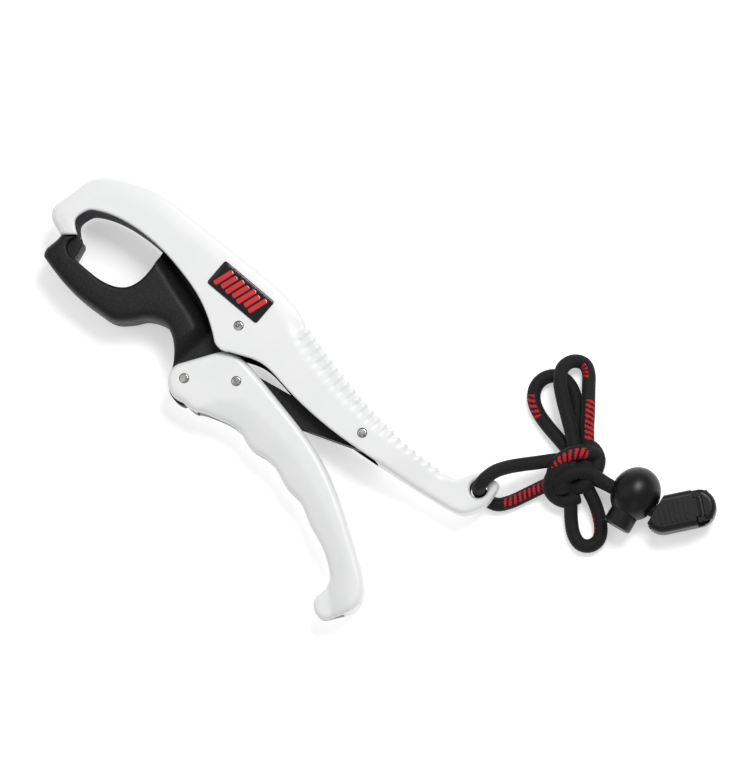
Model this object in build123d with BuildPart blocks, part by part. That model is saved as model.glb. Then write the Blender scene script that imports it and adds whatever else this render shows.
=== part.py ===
from build123d import *
import os
from math import cos, pi, radians, sin, tan

# A lip grip lying flat on its side: a long body with a fixed upper jaw, a swinging lower jaw,
# a finger lever and a link in a four-pivot linkage, and a knotted cord through the tail.
# Every outline is drawn in millimetres from the jaw pivot, +X towards the tail, +Y towards
# the back of the body. +Z is up from the flat far side, z = 0, to the front side.

os.makedirs("parts", exist_ok=True)

# ---- driving dimensions ----
PIVOT_X, PIVOT_Y = -17.24, 28.50  # where the jaw pivot stands from the object's centre
HALF = 12.5                       # half the body's thickness at the jaw
MID = HALF                        # height of the middle plane
TAIL_HALF = 6.2                   # half the thickness at the tail, so that the cord fits below
SKIN = 1.8                        # wall of the two white covers
BACK_INSET = (1.5, -2.5)          # how far the inner frame stands in from the body's back
FRAME_START = -85.5               # the frame stops short of the nose, which the covers fill
FRAME_END = 80.0                  # where the inner frame stops and the covers close
JAW_HALF = 11.0                   # half thickness of the lower jaw's head
TONGUE_HALF = 4.25                # half thickness of the jaw's tongue and of the link
GUIDE_HALF = 4.65                 # half width of the slot that they swing in
LEVER_HALF = 9.0                  # half thickness of the lever
LEVER_SLOT_HALF = 9.5             # half width of the channel that takes the lever
LEVER_WALL_INNER = 5.2            # half width between the lever's two walls
TAPER_START, TAPER_END = 76.0, 110.0

JAW_PIVOT = (0.0, 0.0)
LEVER_PIVOT = (-9.2, -30.9)
LINK_PIVOT = (10.8, -20.8)
BODY_LINK_PIVOT = (69.3, -13.2)
PIN_R = 1.6                       # shank of the four pins
HEAD_R = 2.15                     # domed heads that show in the covers and the lever
HEAD_DEPTH = 0.9                  # sinking of a head's seat
RUNNING = 0.06                    # radial clearance of a pivot
LINK_PLAY = 0.55                  # radial clearance of the link's front eye, the open pivot
JAW_GAP = 0.35                    # daylight between the two jaws at the mouth

TOOTH_HALF = 7.0                  # half thickness of the jaw's tooth
LINK_EYE_R = 7.6
LINK_REAR_R = 6.4
SPRING_R = 4.3                    # mean radius of the closing spring's coil
SPRING_WIRE_R = 0.5
SPRING_PITCH = 1.05
SPRING_TURNS = 3
SPRING_LEG = 10.0
COIL_LIFT = 1.5                   # from the jaw's tongue up to the lowest turn
SPRING_HUB_R = 3.4
SPRING_HUB_TALL = 4.9
SPRING_PEG = (-8.0, 5.75)
SPRING_PEG_R = 0.9
SPRING_POCKET = 5.5               # depth of the frame's pocket for the spring

LANYARD_HOLE = (123.6, -8.6)
LANYARD_HOLE_R = 3.75
RIB_PITCH = 4.0                   # thumb ribs along the back
RIB_DEPTH = 0.8
RIB_RADIUS = 2.2
BADGE_CENTRE = (-6.6, 12.9)
BADGE_SIZE = (28.0, 12.4)
BADGE_TURN = -10.0
BADGE_PROUD = 0.7

CORD_D = 6.0
CORD_R = CORD_D / 2
BALL_CENTRE = (181.8, 23.7, 10.5)
BALL_R = 10.5
BALL_STRETCH = 1.3                # the lock is a little longer along its button
BUTTON_R = 6.2
BUTTON_TRAVEL = 3.0
BUTTON_FACE = 16.3                # from the ball's centre to the button's face
BUTTON_INNER = 2.2                # the button's inner end, beyond the centre
BORE_DEEP = 7.6
SLIDE_GAP = 0.08
LOCK_SPRING_R = 4.2
LOCK_WIRE_R = 0.3
LOCK_PITCH = 1.7
CORD_OFFSET = -2.4                # the cord passes the ball this far from its centre
CORD_DROP = 0.9                   # and a little below it
STRANDS_TALL = 9.6                # height of the two strands, one pressed over the other
CORD_END_CENTRE = (202.15, 26.7, 9.6)
CORD_END_TURN = 42.0
CORD_END_SIZE = (31.0, 15.8)
END_THICK = 13.0
END_MOUTH_X = 192.9               # the cord end is cut square beside the ball
END_THROAT = 5.1
THROAT_WIDE = 10.0
LID_GAP = 0.3
LID_PIVOT_X, LID_PIVOT_Z = 9.0, 4.1
LID_PIN_R = 0.8
KNUCKLE_R = 2.4
KNUCKLE_HALF = 4.0
CHEEK = 2.0                       # thickness of the hinge's two cheeks
ENDS_START, ENDS_STOP = 163.0, 195.4   # where the doubled strands leave the knot and end
KNOT_LOW, KNOT_HIGH = 0.3, 16.0
KNOT_OUTLINE = [(143.4, 20.5), (143.7, 11.4), (147.7, 5.2), (153.7, 2.6), (159.0, 4.4),
                (163.2, 10.5), (165.0, 18.0), (164.6, 26.0), (161.4, 32.2), (155.5, 34.9),
                (149.5, 32.2), (145.2, 26.8)]

# the cord's routes, from the knot and back to it
TAIL_LOOP = [(145.0, 19.6, 9.5), (139.6, 14.8, 11.4), (134.2, 10.2, 14.6), (129.2, 5.4, 18.6),
             (125.2, -0.4, 23.4), (123.6, -8.6, 24.6), (123.5, -8.8, 3.0), (131.6, -10.4, 3.05),
             (137.0, -5.2, 3.1), (141.0, 0.9, 3.1), (145.2, 7.0, 4.0), (149.0, 12.0, 6.0)]
LEFT_LOOP = [(146.0, 26.4, 5.2), (140.4, 28.4, 3.9), (134.0, 30.6, 3.1), (127.6, 33.4, 3.1),
             (122.6, 37.4, 3.1), (120.4, 43.2, 3.1), (122.2, 48.8, 3.1), (127.2, 52.2, 3.1),
             (133.2, 51.2, 3.1), (138.2, 47.2, 3.1), (141.6, 42.6, 3.1), (144.6, 37.6, 3.1),
             (148.4, 32.4, 3.6)]
TOP_LOOP = [(148.0, 29.4, 10.2), (143.4, 34.2, 9.7), (138.4, 39.2, 9.4), (133.2, 44.4, 9.5),
            (128.8, 49.8, 9.9), (126.8, 55.6, 8.7), (129.2, 60.6, 5.4), (134.0, 62.2, 3.6),
            (137.8, 59.2, 3.1), (140.6, 54.0, 4.6), (143.8, 48.6, 7.0), (147.0, 43.0, 8.2),
            (149.8, 37.4, 8.8), (153.0, 32.4, 9.8)]
BOTTOM_LOOP = [(157.4, 10.4, 6.2), (160.4, 5.0, 4.4), (163.4, 0.2, 3.2), (166.8, -4.0, 3.1),
               (171.4, -6.6, 3.1), (175.8, -5.0, 3.1), (177.8, -0.6, 3.1), (176.0, 4.2, 3.1),
               (172.4, 8.4, 3.6), (168.2, 12.2, 4.8), (163.2, 15.4, 6.6)]


def level(height):
    """The drawing plane at a height above the flat far side, with its origin on the jaw pivot."""
    return Plane((PIVOT_X, PIVOT_Y, height))


def spot(point, height):
    """The drawing plane at a height, with its origin on a point of the drawing."""
    return Plane((PIVOT_X + point[0], PIVOT_Y + point[1], height))


# ---- the body: its outline, its side profile, and the solid that the covers are cut from ----
TOOTH_TIP = (-80.5, -0.6)
MOUTH_TIP = (-87.0, -4.3)
BACK_POINTS = [(22.0, 17.2), (35.0, 10.8), (55.0, 2.5), (75.0, -4.2), (93.0, -8.0), (108.0, -9.6)]


with BuildSketch() as body_outline:
    with BuildLine():
        mouth = Line(TOOTH_TIP, MOUTH_TIP)
        chin = Line(mouth @ 1, (-92.5, -1.2))
        nose = ThreePointArc(chin @ 1, (-95.6, 2.7), (-94.9, 8.0))
        crown = Spline(nose @ 1, (-91.0, 17.0), (-86.2, 24.9), (-80.5, 28.3), (-70.0, 31.3),
                       (-58.0, 33.0), (-45.0, 31.6), (-25.0, 28.5), (-5.0, 25.4), (9.0, 22.8),
                       BACK_POINTS[0])
        back = Spline(*BACK_POINTS, tangents=(crown % 1, (1, -0.1)))
        neck = Spline(back @ 1, (113.5, -8.8), (117.5, -4.6), (122.5, -0.9), (127.5, -1.8),
                      (130.3, -7.0), tangents=((1, -0.1), (-0.05, -1)))
        tail = Spline(neck @ 1, (128.9, -14.5), (125.0, -19.6), (118.0, -22.3),
                      tangents=((-0.05, -1), (-1, -0.06)))
        belly = Spline(tail @ 1, (100.0, -21.9), (84.0, -20.8), (60.0, -18.9), (45.0, -16.4),
                       (30.0, -12.4), (22.0, -9.8), (15.5, -8.9), (9.5, -9.8), (2.0, -11.7),
                       tangents=((-1, 0.03), (-1, -0.25)))
        boss = ThreePointArc(belly @ 1, (-2.2, -12.5), (-5.6, -11.0))
        slope = Spline(boss @ 1, (-14.0, -2.9), (-22.0, 2.6), (-32.0, 7.3), (-46.0, 12.1),
                       (-60.0, 14.4), (-72.0, 14.1), (-80.0, 12.0))
        Spline(slope @ 1, (-83.4, 8.6), (-84.5, 4.4), (-82.6, 1.4), TOOTH_TIP,
               tangents=(slope % 1, (0.75, -0.66)))
    make_face()

with BuildSketch() as side_profile:
    with BuildLine():
        flat = Line((-110, HALF), (TAPER_START, HALF))
        taper = Spline(flat @ 1, (TAPER_END, TAIL_HALF), tangents=((1, 0), (1, 0)))
        Polyline(taper @ 1, (140, TAIL_HALF), (140, 0), (-110, 0), flat @ 0)
    make_face()
    mirror(about=Plane.XZ)


def groove_centres(edge):
    """Points just outside the ribbed back, one for each groove between two thumb ribs."""
    count = int(edge.length / RIB_PITCH)
    lift = RIB_RADIUS - RIB_DEPTH
    centres = []
    for k in range(1, count + 1):
        at = edge.position_at(k / (count + 0.6))
        along = edge.tangent_at(k / (count + 0.6))
        centres.append((at.X - along.Y * lift, at.Y + along.X * lift))
    return centres


side_plane = Plane(origin=(PIVOT_X, 100, MID), x_dir=(1, 0, 0), z_dir=(0, -1, 0))

with BuildPart() as blank:
    with BuildSketch(level(0)):
        add(body_outline.sketch)
    extrude(amount=2 * HALF)
    with BuildSketch(side_plane):
        add(side_profile.sketch)
    extrude(amount=250, mode=Mode.INTERSECT)
    with BuildSketch(level(0)):
        with Locations(*groove_centres(back)):
            Circle(RIB_RADIUS)
    extrude(amount=2 * HALF, mode=Mode.SUBTRACT)
    with BuildSketch(spot(LANYARD_HOLE, 0)):
        Circle(LANYARD_HOLE_R)
    extrude(amount=2 * HALF, mode=Mode.SUBTRACT)

# ---- the black inner frame: it shows inside the upper jaw and holds all four pins' loads ----
FRAME_HALF = HALF - SKIN

with BuildSketch() as frame_outline:
    add(body_outline.sketch)
    with Locations(BACK_INSET):
        add(body_outline.sketch, mode=Mode.INTERSECT)
    with Locations((FRAME_END + 100, 0), (FRAME_START - 100, 0)):
        Rectangle(200, 200, mode=Mode.SUBTRACT)

# room for the lever's walls when it is squeezed up into the body
with BuildSketch() as lever_room:
    with BuildLine():
        rise = Spline((9.0, -6.3), (25.0, -6.6), (45.0, -8.0), (57.0, -10.2), (68.0, -14.3),
                       (FRAME_END + 1, -20.0))
        Polyline(rise @ 1, (FRAME_END + 1, -40), (-9.0, -40), (-9.0, -9.0))
        ThreePointArc((-9.0, -9.0), (0.0, -7.4), rise @ 0)
    make_face()

# room for the jaw's tongue and the link
with BuildSketch() as tongue_room:
    with BuildLine():
        Polyline((-47.2, 14.4), (-10.0, 10.2), (3.0, 9.6), (9.5, 4.0), (13.0, -3.6), (30.0, -5.2),
                 (68.0, -5.9), (76.0, -8.0), (FRAME_END + 1, -13.0), (FRAME_END + 1, -40),
                 (-47.2, -40), close=True)
    make_face()

# two cored-out chambers on each side keep the frame light
with BuildSketch() as chambers:
    with BuildLine():
        Spline((-86.0, 16.0), (-78.0, 25.4), (-60.0, 28.8), (-35.0, 26.4), (-20.0, 23.6),
               (-20.0, 15.5), (-45.0, 17.5), (-66.0, 19.0), periodic=True)
    make_face()
    with BuildLine():
        Polyline((-15.0, 21.0), (8.0, 18.0), (20.0, 13.0), (32.0, 7.0), (44.0, 2.2), (44.0, -1.5),
                 (14.0, 1.0), (9.0, 10.5), (-15.0, 14.0), close=True)
    make_face()

with BuildPart() as body_frame:
    with BuildSketch(level(MID - FRAME_HALF)):
        add(frame_outline.sketch)
    extrude(amount=2 * FRAME_HALF)
    with BuildSketch(level(MID - LEVER_SLOT_HALF)):
        add(lever_room.sketch)
    extrude(amount=2 * LEVER_SLOT_HALF, mode=Mode.SUBTRACT)
    with BuildSketch(level(MID - GUIDE_HALF)):
        add(tongue_room.sketch)
    extrude(amount=2 * GUIDE_HALF, mode=Mode.SUBTRACT)
    for base in (MID - FRAME_HALF, MID + 1.0):
        with BuildSketch(level(base)):
            add(chambers.sketch)
        extrude(amount=FRAME_HALF - 1.0, mode=Mode.SUBTRACT)
    with BuildSketch(level(MID + GUIDE_HALF)):
        Circle(SPRING_R + 1.3)
        with BuildLine():
            Polyline((-14.5, 1.5), (-14.5, 7.4), (0.0, 7.4), (0.0, 5.2), (15.0, 5.2), (15.0, 3.4),
                     (0.0, 3.4), (0.0, 1.5), close=True)
        make_face()
    extrude(amount=SPRING_POCKET, mode=Mode.SUBTRACT)
    with BuildSketch(level(0)):
        with Locations(JAW_PIVOT, BODY_LINK_PIVOT):
            Circle(PIN_R)
    extrude(amount=2 * HALF, mode=Mode.SUBTRACT)
body_frame.part.label = "body_frame"
export_step(body_frame.part, "parts/body_frame.step")


# ---- the two white covers, which meet round the back and close the tail ----
def cover(side):
    """One cover: side is +1 for the front, -1 for the rear. Both are the blank less the frame."""
    face = MID + side * HALF
    with BuildPart() as shell:
        add(blank.part)
        split(bisect_by=level(MID), keep=Keep.TOP if side > 0 else Keep.BOTTOM)
        with BuildSketch(level(MID - FRAME_HALF)):
            add(frame_outline.sketch)
            with BuildLine():
                Polyline((FRAME_END - 4, -12.0), (FRAME_END + 2.5, -12.0), (FRAME_END + 5, -30),
                         (FRAME_END - 4, -30), close=True)
            make_face()
        extrude(amount=2 * FRAME_HALF, mode=Mode.SUBTRACT)
        with BuildSketch(level(MID - TAIL_HALF + SKIN)):
            with BuildLine():
                Polyline((FRAME_END + 5, -11.0), (108.0, -13.0), (108.0, -19.0),
                         (FRAME_END + 5, -18.0), close=True)
            make_face()
        extrude(amount=2 * (TAIL_HALF - SKIN), mode=Mode.SUBTRACT)
        with BuildSketch(level(0)):
            with Locations(JAW_PIVOT, BODY_LINK_PIVOT):
                Circle(PIN_R)
        extrude(amount=2 * HALF, mode=Mode.SUBTRACT)
        with BuildSketch(level(face)):
            with Locations(JAW_PIVOT, BODY_LINK_PIVOT):
                Circle(HEAD_R)
        extrude(amount=-side * HEAD_DEPTH, mode=Mode.SUBTRACT)
    return shell.part


front_cover = cover(1)
front_cover.label = "front_cover"
export_step(front_cover, "parts/front_cover.step")
rear_cover = cover(-1)
rear_cover.label = "rear_cover"
export_step(rear_cover, "parts/rear_cover.step")


# ---- the lower jaw: a thick head on a thin tongue that passes the pivot and ends in the lever ----
JAW_MOUTH = ((-86.8, -4.6), (-80.7, -1.15))
TOOTH_BACK = ((-77.9, -1.9), (-77.0, -3.3), (-77.0, -12.5))

with BuildSketch() as jaw_head:
    with BuildLine():
        mouth = Line(*JAW_MOUTH)
        bite = Spline(mouth @ 1, (-82.3, -4.8), (-81.6, -8.0), (-79.0, -10.0), (-76.0, -10.3))
        hole = Spline(bite @ 1, (-70.0, -11.4), (-62.5, -12.4), (-55.5, -11.7), (-50.6, -9.2),
                      (-47.6, -5.0), (-46.0, 0.5), (-45.5, 6.4))
        ridge = Spline(hole @ 1, (-38.5, 3.0), (-29.0, -2.0), (-20.0, -6.4), (-14.8, -10.6))
        step = Line(ridge @ 1, (-19.7, -23.4))
        chin = Spline(step @ 1, (-23.6, -17.9), (-28.8, -14.7), (-36.4, -16.6), (-42.0, -21.2),
                      (-48.5, -24.8), (-57.3, -24.5), (-67.0, -23.2), (-77.0, -20.6), (-86.2, -16.9))
        front = ThreePointArc(chin @ 1, (-89.0, -15.3), (-89.6, -12.2))
        Line(front @ 1, mouth @ 0)
    make_face()

with BuildSketch() as jaw_web:
    with BuildLine():
        tooth = Polyline(*JAW_MOUTH, *TOOTH_BACK)
        hole = Spline(tooth @ 1, (-70.0, -12.6), (-62.5, -13.4), (-55.2, -12.6), (-49.8, -9.9),
                      (-46.7, -5.3), (-45.1, 0.5), (-44.7, 6.4), (-45.7, 11.0))
        top = Polyline(hole @ 1, (-45.7, 13.2), (-8.0, 8.4))
        eye = ThreePointArc(top @ 1, (0.0, 8.5), (7.6, 3.8))
        scoop = Spline(eye @ 1, (7.3, -4.4), (2.2, -10.6), (-1.0, -16.5), (0.4, -23.4), (0.3, -30.5))
        heel = Spline(scoop @ 1, (-2.6, -37.2), (-3.6, -40.7), (-8.0, -40.9), (-12.4, -38.8),
                      (-15.6, -34.6), (-16.3, -30.8))
        nape = Spline(heel @ 1, (-17.4, -26.5), (-19.4, -21.5), (-23.2, -16.9), (-28.6, -13.9))
        Polyline(nape @ 1, (-40.0, -16.0), (-60.0, -20.0), (-80.0, -16.0), (-86.0, -12.0), tooth @ 0)
    make_face()

with BuildPart() as lower_jaw:
    with BuildSketch(level(MID - JAW_HALF)):
        add(jaw_head.sketch)
    extrude(amount=2 * JAW_HALF)
    with BuildSketch(level(MID - TONGUE_HALF)):
        add(jaw_web.sketch)
    extrude(amount=2 * TONGUE_HALF)
    with BuildSketch(level(MID - TOOTH_HALF)):
        with BuildLine():
            Polyline(*JAW_MOUTH, *TOOTH_BACK, (-80.0, -13.0), (-84.0, -10.0), close=True)
        make_face()
    extrude(amount=2 * TOOTH_HALF)
    with BuildSketch(level(MID + TONGUE_HALF)):
        Circle(SPRING_HUB_R)
        with Locations(SPRING_PEG):
            Circle(SPRING_PEG_R)
    extrude(amount=SPRING_HUB_TALL)
    with BuildSketch(level(0)):
        with Locations(JAW_PIVOT, LEVER_PIVOT):
            Circle(PIN_R + RUNNING)
    extrude(amount=2 * HALF, mode=Mode.SUBTRACT)
lower_jaw.part.label = "lower_jaw"
export_step(lower_jaw.part, "parts/lower_jaw.step")

# ---- the finger lever: two walls with a web along the finger side ----
with BuildSketch() as lever_outline:
    with BuildLine():
        top = Line((-14.9, -26.6), (-3.2, -14.3))
        corner = Spline(top @ 1, (0.8, -11.6), (5.2, -10.8), (10.0, -11.5),
                        tangents=((1, 1.05), (1, -0.3)))
        inner = Spline(corner @ 1, (19.5, -14.7), (32.0, -19.4), (45.5, -24.7), (59.5, -31.7),
                       (72.0, -40.4), (84.0, -50.5), (95.0, -60.6), (101.6, -67.6), (104.4, -73.2),
                       (104.2, -78.4), tangents=((1, -0.3), (-0.25, -1)))
        hook = Spline(inner @ 1, (98.6, -86.1), (94.0, -89.9), (89.6, -88.8), (86.6, -83.6),
                      (88.3, -78.6), (87.4, -72.2), tangents=((-0.3, -1), (-0.55, 1)))
        grip = Spline(hook @ 1, (79.4, -64.2), (72.4, -59.9), (68.2, -57.3), (60.0, -51.4),
                      (51.8, -49.0), (47.4, -46.4), (38.0, -42.8), (29.6, -42.2), (24.6, -39.4),
                      (13.0, -38.3), (3.0, -40.3), (-1.6, -40.6), tangents=((-0.6, 0.75), (-1, 0.1)))
        lip = Line(grip @ 1, (-5.0, -40.0))
        nose = ThreePointArc(lip @ 1, (-14.4, -36.4), (-16.2, -30.9))
        ThreePointArc(nose @ 1, (-15.9, -28.6), top @ 0)
    make_face()

with BuildSketch() as lever_channel:
    with BuildLine():
        web = Spline((-1.5, -37.6), (12.0, -35.3), (24.0, -36.4), (32.0, -39.0), (45.0, -41.8),
                     (53.0, -45.9), (61.0, -48.6), (72.0, -56.4), (81.0, -62.0), (88.0, -69.0),
                     (93.0, -76.0))
        Polyline(web @ 1, (97.5, -78.0), (100.6, -73.0), (100.0, -66.0), (100.0, 0.0),
                 (-40.0, 0.0), (-40.0, -50.0), (-1.5, -50.0), web @ 0)
    make_face()

with BuildPart() as lever:
    with BuildSketch(level(MID - LEVER_HALF)):
        add(lever_outline.sketch)
    extrude(amount=2 * LEVER_HALF)
    with BuildSketch(level(MID - LEVER_WALL_INNER)):
        add(lever_channel.sketch)
    extrude(amount=2 * LEVER_WALL_INNER, mode=Mode.SUBTRACT)
    with BuildSketch(level(0)):
        with Locations(LEVER_PIVOT, LINK_PIVOT):
            Circle(PIN_R)
    extrude(amount=2 * HALF, mode=Mode.SUBTRACT)
    with BuildSketch(level(MID + LEVER_HALF)):
        with Locations(LEVER_PIVOT, LINK_PIVOT):
            Circle(HEAD_R)
    extrude(amount=-HEAD_DEPTH, mode=Mode.SUBTRACT)
    with BuildSketch(level(MID - LEVER_HALF)):
        with Locations(LEVER_PIVOT, LINK_PIVOT):
            Circle(HEAD_R)
    extrude(amount=HEAD_DEPTH, mode=Mode.SUBTRACT)
lever.part.label = "lever"
export_step(lever.part, "parts/lever.step")

# ---- the link between the lever and the body ----
with BuildPart() as link:
    with BuildSketch(level(MID - TONGUE_HALF)):
        with Locations(LINK_PIVOT):
            Circle(LINK_EYE_R)
        with Locations(BODY_LINK_PIVOT):
            Circle(LINK_REAR_R)
        with BuildLine():
            low = Polyline((11.7, -28.35), (44.0, -24.2), (70.2, -19.55))
            Polyline(low @ 1, (67.4, -7.1), (60.0, -9.2), (46.0, -13.3), (38.0, -13.9),
                     (16.0, -14.1), low @ 0)
        make_face()
    extrude(amount=2 * TONGUE_HALF)
    with BuildSketch(level(0)):
        with Locations(LINK_PIVOT):
            Circle(PIN_R + LINK_PLAY)
        with Locations(BODY_LINK_PIVOT):
            Circle(PIN_R + RUNNING)
    extrude(amount=2 * HALF, mode=Mode.SUBTRACT)
link.part.label = "link"
export_step(link.part, "parts/link.step")


# ---- the four pins, each with a domed head sunk in either face ----
def pin(point, half):
    """A steel pin across a body that is 2 * half thick, with a shallow domed head at each end."""
    reach = half - HEAD_DEPTH
    with BuildPart() as made:
        with BuildSketch(spot(point, MID - reach)):
            Circle(PIN_R)
        extrude(amount=2 * reach)
        with BuildSketch(spot(point, MID + reach)):
            Circle(HEAD_R - 0.05)
        extrude(amount=HEAD_DEPTH - 0.1)
        with BuildSketch(spot(point, MID - reach)):
            Circle(HEAD_R - 0.05)
        extrude(amount=0.1 - HEAD_DEPTH)
        rims = made.edges().filter_by(GeomType.CIRCLE).group_by(Axis.Z)
        fillet(rims[0] + rims[-1], radius=0.6)
    return made.part


for name, point, half in (
    ("jaw_pin", JAW_PIVOT, HALF),
    ("body_link_pin", BODY_LINK_PIVOT, HALF),
    ("lever_pin", LEVER_PIVOT, LEVER_HALF),
    ("link_pin", LINK_PIVOT, LEVER_HALF),
):
    piece = pin(point, half)
    piece.label = name
    export_step(piece, f"parts/{name}.step")

# ---- the closing spring: a torsion coil round the jaw's hub, one leg in the frame, one on a peg ----
coil_plane = Plane(origin=(PIVOT_X, PIVOT_Y, MID + TONGUE_HALF + COIL_LIFT), x_dir=(0, 1, 0))
turns = coil_plane * Helix(pitch=SPRING_PITCH, height=SPRING_TURNS * SPRING_PITCH, radius=SPRING_R)
with BuildPart() as closing_spring:
    with BuildLine() as spring_wire:
        Line(turns @ 0 - (turns % 0) * SPRING_LEG, turns @ 0)
        add(turns)
        Line(turns @ 1, turns @ 1 + (turns % 1) * SPRING_LEG)
    spring_path = spring_wire.wires()[0]
    with BuildSketch(Plane(origin=spring_path @ 0, z_dir=spring_path % 0)):
        Circle(SPRING_WIRE_R)
    sweep(path=spring_path)
closing_spring.part.label = "closing_spring"
export_step(closing_spring.part, "parts/closing_spring.step")

# ---- the badge on the front cover: a domed plate with a plain wave mark let into it ----
badge_plane = Plane(
    origin=(PIVOT_X + BADGE_CENTRE[0], PIVOT_Y + BADGE_CENTRE[1], 2 * HALF),
    x_dir=(cos(radians(BADGE_TURN)), sin(radians(BADGE_TURN)), 0),
)
with BuildSketch() as badge_mark:
    with Locations(*[(-9.6 + 3.2 * k, 0) for k in range(7)]):
        SlotOverall(7.0, 1.7, rotation=68)

with BuildPart() as badge_plate:
    with BuildSketch(badge_plane):
        RectangleRounded(*BADGE_SIZE, radius=1.2)
    extrude(amount=BADGE_PROUD)
    chamfer(badge_plate.faces().sort_by(Axis.Z)[-1].edges(), length=0.4)
    with BuildSketch(badge_plane.offset(BADGE_PROUD)):
        add(badge_mark.sketch)
    extrude(amount=-BADGE_PROUD / 2, mode=Mode.SUBTRACT)
badge_plate.part.label = "badge_plate"
export_step(badge_plate.part, "parts/badge_plate.step")

with BuildPart() as badge_bars:
    with BuildSketch(badge_plane.offset(BADGE_PROUD / 2)):
        add(badge_mark.sketch)
    extrude(amount=BADGE_PROUD / 2)
badge_bars.part.label = "badge_bars"
export_step(badge_bars.part, "parts/badge_bars.step")

# ---- the cord lock: a hollow ball, a spring and a button that pinches the cord ----
BALL_X, BALL_Y, BALL_Z = BALL_CENTRE
ball_plane = Plane(origin=(PIVOT_X + BALL_X, PIVOT_Y + BALL_Y, BALL_Z), x_dir=(1, 0, 0),
                   z_dir=(0, -1, 0))   # looks along the button, +Z of the plane out of its face
cord_plane = Plane(origin=(PIVOT_X + BALL_X, PIVOT_Y + BALL_Y + CORD_OFFSET, BALL_Z - CORD_DROP),
                   x_dir=(0, 1, 0), z_dir=(1, 0, 0))

with BuildPart() as cord_lock_body:
    with BuildSketch(Plane(origin=(PIVOT_X + BALL_X, PIVOT_Y + BALL_Y, BALL_Z))):
        Ellipse(BALL_R, BALL_R + BALL_STRETCH)
        with Locations((-BALL_R, 0)):
            Rectangle(2 * BALL_R, 4 * BALL_R, mode=Mode.SUBTRACT)
    revolve(axis=Axis((PIVOT_X + BALL_X, PIVOT_Y + BALL_Y, BALL_Z), (0, 1, 0)))
    with BuildSketch(ball_plane.offset(-BORE_DEEP)):
        Circle(BUTTON_R + SLIDE_GAP)
    extrude(amount=40, mode=Mode.SUBTRACT)
    with BuildSketch(cord_plane.offset(-20)):
        SlotOverall(STRANDS_TALL + 0.6, CORD_D + 0.6, rotation=90)
    extrude(amount=40, mode=Mode.SUBTRACT)
cord_lock_body.part.label = "cord_lock_body"
export_step(cord_lock_body.part, "parts/cord_lock_body.step")

with BuildPart() as cord_lock_button:
    with BuildSketch(ball_plane.offset(-BUTTON_INNER)):
        Circle(BUTTON_R)
    extrude(amount=BUTTON_INNER + BUTTON_FACE)
    chamfer(cord_lock_button.faces().sort_by(Axis.Y)[0].edges(), length=0.6)
    with BuildSketch(cord_plane.offset(-20)):
        with Locations((-BUTTON_TRAVEL / 2 - 0.2, 0)):
            RectangleRounded(CORD_D + 1.0 + BUTTON_TRAVEL, STRANDS_TALL + 0.5, radius=3.0)
    extrude(amount=40, mode=Mode.SUBTRACT)
cord_lock_button.part.label = "cord_lock_button"
export_step(cord_lock_button.part, "parts/cord_lock_button.step")

lock_turns = ball_plane.offset(-BORE_DEEP + LOCK_WIRE_R + 0.1) * Helix(
    pitch=LOCK_PITCH, height=BORE_DEEP - BUTTON_INNER - 2 * LOCK_WIRE_R - 0.3,
    radius=LOCK_SPRING_R)
with BuildPart() as cord_lock_spring:
    with BuildSketch(Plane(origin=lock_turns @ 0, z_dir=lock_turns % 0)):
        Circle(LOCK_WIRE_R)
    sweep(path=lock_turns, is_frenet=True)
cord_lock_spring.part.label = "cord_lock_spring"
export_step(cord_lock_spring.part, "parts/cord_lock_spring.step")

# ---- the cord end: a base and a snap lid on a hinge pin, over the two ends of the cord ----
END_X, END_Y, END_Z = CORD_END_CENTRE


def end_level(height):
    """The drawing plane of the cord end, +X along it, at a height above its middle."""
    return Plane(origin=(PIVOT_X + END_X, PIVOT_Y + END_Y, END_Z + height),
                 x_dir=(cos(radians(CORD_END_TURN)), sin(radians(CORD_END_TURN)), 0))


end_side = Plane(origin=end_level(0).origin, x_dir=end_level(0).x_dir,
                 z_dir=(sin(radians(CORD_END_TURN)), -cos(radians(CORD_END_TURN)), 0))
END_HALF = END_THICK / 2

with BuildPart() as capsule:
    with BuildSketch(end_level(-END_HALF)):
        SlotOverall(*CORD_END_SIZE)
    extrude(amount=END_THICK)
    levels = capsule.faces().group_by(Axis.Z)
    fillet(levels[0].edges() + levels[-1].edges(), radius=2.5)
    with BuildSketch(Plane((PIVOT_X + END_MOUTH_X - 50, PIVOT_Y + END_Y, END_Z - 20))):
        Rectangle(100, 100)
    extrude(amount=40, mode=Mode.SUBTRACT)

with BuildPart() as cord_end_base:
    add(capsule.part)
    with BuildSketch(end_level(0)):
        with Locations((LID_PIVOT_X - 50, 0)):
            Rectangle(100, 40)
    extrude(amount=20, mode=Mode.SUBTRACT)
    with BuildSketch(end_side):
        with Locations((LID_PIVOT_X, LID_PIVOT_Z)):
            Circle(KNUCKLE_R + LID_GAP)
    extrude(amount=20, both=True, mode=Mode.SUBTRACT)
    for side in (-1, 1):
        with BuildSketch(end_side.offset(side * (KNUCKLE_HALF + LID_GAP))):
            with BuildLine():
                Polyline((LID_PIVOT_X - 2.2, -0.1), (LID_PIVOT_X - 2.2, LID_PIVOT_Z + 1.2),
                         (LID_PIVOT_X + 4.0, LID_PIVOT_Z + 1.2), (LID_PIVOT_X + 4.0, -0.1),
                         close=True)
            make_face()
        extrude(amount=side * CHEEK)
    with BuildSketch(end_side):
        with Locations((LID_PIVOT_X, LID_PIVOT_Z)):
            Circle(LID_PIN_R)
    extrude(amount=20, both=True, mode=Mode.SUBTRACT)
    with BuildSketch(end_level(-END_THROAT)):
        with Locations((-6.0, 0)):
            Rectangle(24.0, THROAT_WIDE)
    extrude(amount=END_THROAT, mode=Mode.SUBTRACT)
cord_end_base.part.label = "cord_end_base"
export_step(cord_end_base.part, "parts/cord_end_base.step")

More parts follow.
